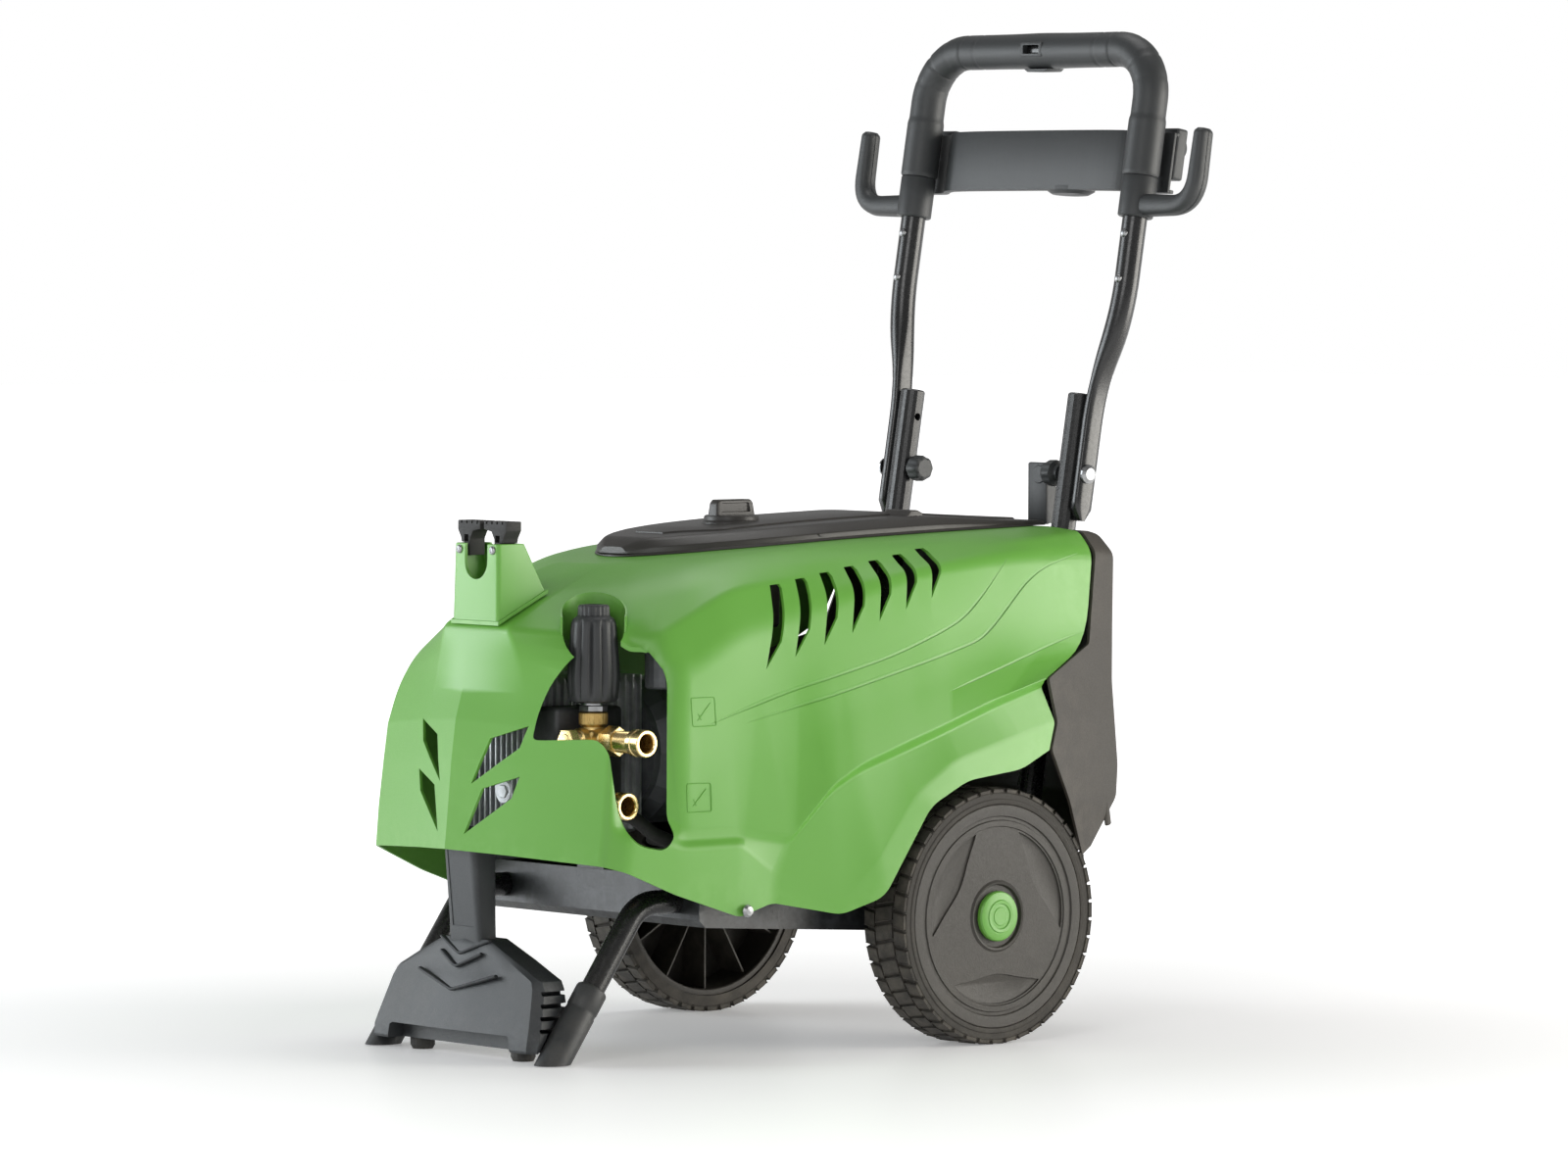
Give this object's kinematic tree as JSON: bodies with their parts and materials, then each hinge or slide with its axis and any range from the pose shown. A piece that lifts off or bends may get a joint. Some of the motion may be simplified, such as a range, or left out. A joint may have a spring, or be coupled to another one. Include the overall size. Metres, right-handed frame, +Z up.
{
  "type": "pressure washer",
  "caption": "Wheeled electric pressure washer: green hood over motor and pump, pressure knob, hose ports, lance holder, front stand and folding tube handle with cable hooks.",
  "frame": {"origin": "on the ground, under the middle of the overall box", "axes": "+Z up, -Y towards the nose and front stand, +X towards the side with the hose ports"},
  "size_m": [0.5134, 0.8082, 0.9917],
  "materials": {
    "black_paint": "gloss powder coat",
    "bright_steel": "zinc plated",
    "black_plastic": "moulded, satin",
    "rubber": "soft",
    "green_plastic": "moulded, fine grain",
    "warm_black_plastic": "moulded, textured",
    "motor_paint": "painted casting",
    "cast_aluminium": "as cast",
    "dark_casting": "painted casting",
    "brass": "cast and machined",
    "tyre_rubber": "solid rubber",
    "shaft_steel": "ground"
  },
  "bodies": {
    "body": {"chassis_tray": "black_paint", "axle": "bright_steel", "stand_foot": "black_plastic", "rubber_foot_left": "rubber", "rubber_foot_right": "rubber", "stand_tube_left": "black_paint", "stand_tube_right": "black_paint", "stand_sleeve_left": "black_plastic", "stand_sleeve_right": "black_plastic", "hood": "green_plastic", "hood_screw_left": "bright_steel", "hood_screw_right": "bright_steel", "rear_panel": "warm_black_plastic", "top_panel": "black_plastic", "lance_holder": "green_plastic", "holder_clip": "rubber", "holder_screw_left": "bright_steel", "holder_screw_right": "bright_steel", "frame_tube_left": "black_paint", "frame_tube_right": "black_paint", "motor_housing": "motor_paint", "fan_cover": "black_plastic", "pump_crankcase": "cast_aluminium", "pump_head": "dark_casting", "unloader_body": "brass", "unloader_plug": "brass", "unloader_nut": "bright_steel", "outlet_nipple": "brass", "inlet_nipple": "brass", "capacitor": "motor_paint", "switch_box": "black_plastic", "cable_gland": "black_plastic", "hose_bracket": "black_plastic", "bypass_hose": "rubber", "pivot_bolt_left": "bright_steel", "pivot_bolt_right": "bright_steel"},
    "wheel_left": {"tyre_left": "tyre_rubber", "rim_left": "warm_black_plastic", "hub_cap_left": "green_plastic"},
    "wheel_right": {"tyre_right": "tyre_rubber", "rim_right": "warm_black_plastic", "hub_cap_right": "green_plastic"},
    "rotor": {"motor_shaft": "shaft_steel", "cooling_fan": "black_plastic"},
    "pressure_knob": {"pressure_knob": "black_plastic"},
    "power_switch": {"power_switch_knob": "black_plastic"},
    "handle": {"handle_tube": "black_paint", "handle_grip": "black_plastic", "hook_sleeve_left": "black_plastic", "hook_sleeve_right": "black_plastic", "band_plate": "black_plastic", "band_clamp_left": "black_plastic", "band_clamp_right": "black_plastic", "rivet_upper_left": "bright_steel", "rivet_upper_right": "bright_steel", "rivet_lower_left": "bright_steel", "rivet_lower_right": "bright_steel"},
    "clamp_knob_left": {"clamp_knob_left": "black_plastic"},
    "clamp_knob_right": {"clamp_knob_right": "black_plastic"}
  },
  "joints": [
    {"name": "wheel_left_spin", "type": "hinge", "parent": "body", "child": "wheel_left", "pos_m": [-0.2157, 0.0899, 0.125], "axis": [1, 0, 0], "continuous": true},
    {"name": "wheel_right_spin", "type": "hinge", "parent": "body", "child": "wheel_right", "pos_m": [0.2157, 0.0899, 0.125], "axis": [1, 0, 0], "continuous": true},
    {"name": "motor_spin", "type": "hinge", "parent": "body", "child": "rotor", "pos_m": [0, -0.0451, 0.285], "axis": [0, 1, 0], "continuous": true},
    {"name": "handle_fold", "type": "hinge", "parent": "body", "child": "handle", "pos_m": [0, 0.2913, 0.5497], "axis": [1, 0, 0], "range_deg": [0, 95]},
    {"name": "clamp_knob_left_turn", "type": "hinge", "parent": "body", "child": "clamp_knob_left", "pos_m": [-0.1005, 0.2913, 0.5497], "axis": [1, 0, 0], "range_deg": [0, 720]},
    {"name": "clamp_knob_right_turn", "type": "hinge", "parent": "body", "child": "clamp_knob_right", "pos_m": [0.1005, 0.2913, 0.5497], "axis": [1, 0, 0], "range_deg": [0, 720]},
    {"name": "pressure_turn", "type": "hinge", "parent": "body", "child": "pressure_knob", "pos_m": [0.105, -0.3071, 0.3875], "axis": [0, 0, 1], "range_deg": [0, 720]},
    {"name": "power_switch_turn", "type": "hinge", "parent": "body", "child": "power_switch", "pos_m": [0, -0.0461, 0.51], "axis": [0, 0, 1], "range_deg": [0, 90]}
  ]
}
